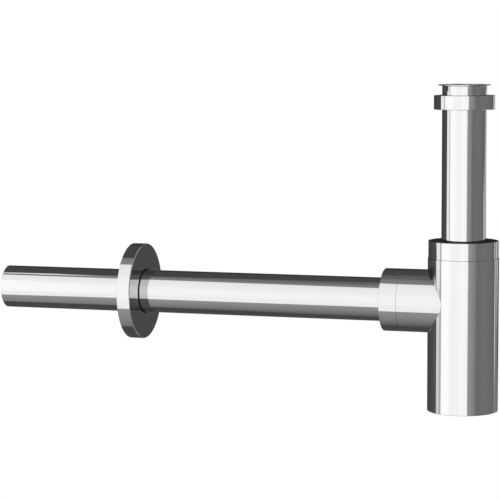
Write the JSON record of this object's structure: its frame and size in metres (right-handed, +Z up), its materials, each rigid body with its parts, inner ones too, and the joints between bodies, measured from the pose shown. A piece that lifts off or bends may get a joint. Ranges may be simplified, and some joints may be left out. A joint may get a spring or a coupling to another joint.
{
  "type": "sink trap",
  "caption": "Chrome bottle trap for a basin: sliding inlet tube with union nut, bottle with screw plug, level outlet tube and wall rosette.",
  "frame": {"origin": "centre of the inlet collar's top face, which seats on the basin waste", "axes": "+Z up along the inlet tube, the outlet tube runs along -X to the wall"},
  "size_m": [0.3837, 0.072, 0.2368],
  "materials": {
    "polished_chrome": "mirror polished plating",
    "plated_thread": "turned and thinly plated",
    "black_rubber": "moulded, matt",
    "white_nylon": "smooth moulded"
  },
  "bodies": {
    "inlet": {"inlet_tube": "polished_chrome"},
    "union_ring": {"union_slip_ring": "white_nylon"},
    "union": {"union_nut": "polished_chrome"},
    "inlet_seal": {"inlet_cone_seal": "black_rubber"},
    "bottle": {"bottle_tube": "polished_chrome", "neck_ring": "plated_thread", "branch_tube": "polished_chrome", "branch_ring": "plated_thread", "base_ring": "plated_thread", "outlet_cone_seal": "black_rubber"},
    "top_ring": {"top_slip_ring": "white_nylon"},
    "top_cap": {"top_nut": "polished_chrome", "top_wiper_ring": "black_rubber"},
    "outlet_ring": {"outlet_slip_ring": "white_nylon"},
    "outlet_cap": {"outlet_nut": "polished_chrome"},
    "outlet": {"outlet_tube": "polished_chrome"},
    "rosette": {"wall_rosette": "polished_chrome", "rosette_grip_ring": "black_rubber"},
    "plug_seal": {"plug_o_ring": "black_rubber"},
    "plug": {"clean_out_plug": "polished_chrome"}
  },
  "joints": [
    {"name": "union_slide", "type": "slide", "parent": "inlet", "child": "union_ring", "axis": [0, 0, 1], "range_m": [-0.075, 0.0131]},
    {"name": "union_turn", "type": "hinge", "parent": "union_ring", "child": "union", "pos_m": [0, 0, -0.012], "axis": [0, 0, 1], "continuous": true},
    {"name": "height_adjust", "type": "slide", "parent": "inlet", "child": "inlet_seal", "axis": [0, 0, 1], "range_m": [-0.06, 0.006]},
    {"name": "swivel", "type": "hinge", "parent": "inlet_seal", "child": "bottle", "pos_m": [0, 0, -0.12], "axis": [0, 0, 1], "continuous": true},
    {"name": "top_nut_turn", "type": "hinge", "parent": "top_ring", "child": "top_cap", "pos_m": [0, 0, -0.119], "axis": [0, 0, 1], "range_deg": [0, 1440]},
    {"name": "top_nut_lift", "type": "slide", "parent": "bottle", "child": "top_ring", "axis": [0, 0, 1], "range_m": [0, 0.00924]},
    {"name": "outlet_nut_turn", "type": "hinge", "parent": "outlet_ring", "child": "outlet_cap", "pos_m": [-0.051, 0, -0.1575], "axis": [-1, 0, 0], "range_deg": [0, 1440]},
    {"name": "outlet_nut_back", "type": "slide", "parent": "bottle", "child": "outlet_ring", "axis": [-1, 0, 0], "range_m": [0, 0.00924]},
    {"name": "outlet_slide", "type": "slide", "parent": "bottle", "child": "outlet", "axis": [-1, 0, 0], "range_m": [-0.0075, 0.0095]},
    {"name": "rosette_slide", "type": "slide", "parent": "outlet", "child": "rosette", "axis": [1, 0, 0], "range_m": [-0.095, 0.16]},
    {"name": "plug_turn", "type": "hinge", "parent": "plug_seal", "child": "plug", "pos_m": [0, 0, -0.235], "axis": [0, 0, -1], "range_deg": [0, 1440]},
    {"name": "plug_drop", "type": "slide", "parent": "bottle", "child": "plug_seal", "axis": [0, 0, -1], "range_m": [0, 0.008]}
  ],
  "couplings": [
    {"joint": "top_nut_lift", "follows": "top_nut_turn", "m_per_rad": 0.00036749},
    {"joint": "outlet_nut_back", "follows": "outlet_nut_turn", "m_per_rad": 0.00036749},
    {"joint": "plug_drop", "follows": "plug_turn", "m_per_rad": 0.00031831}
  ]
}
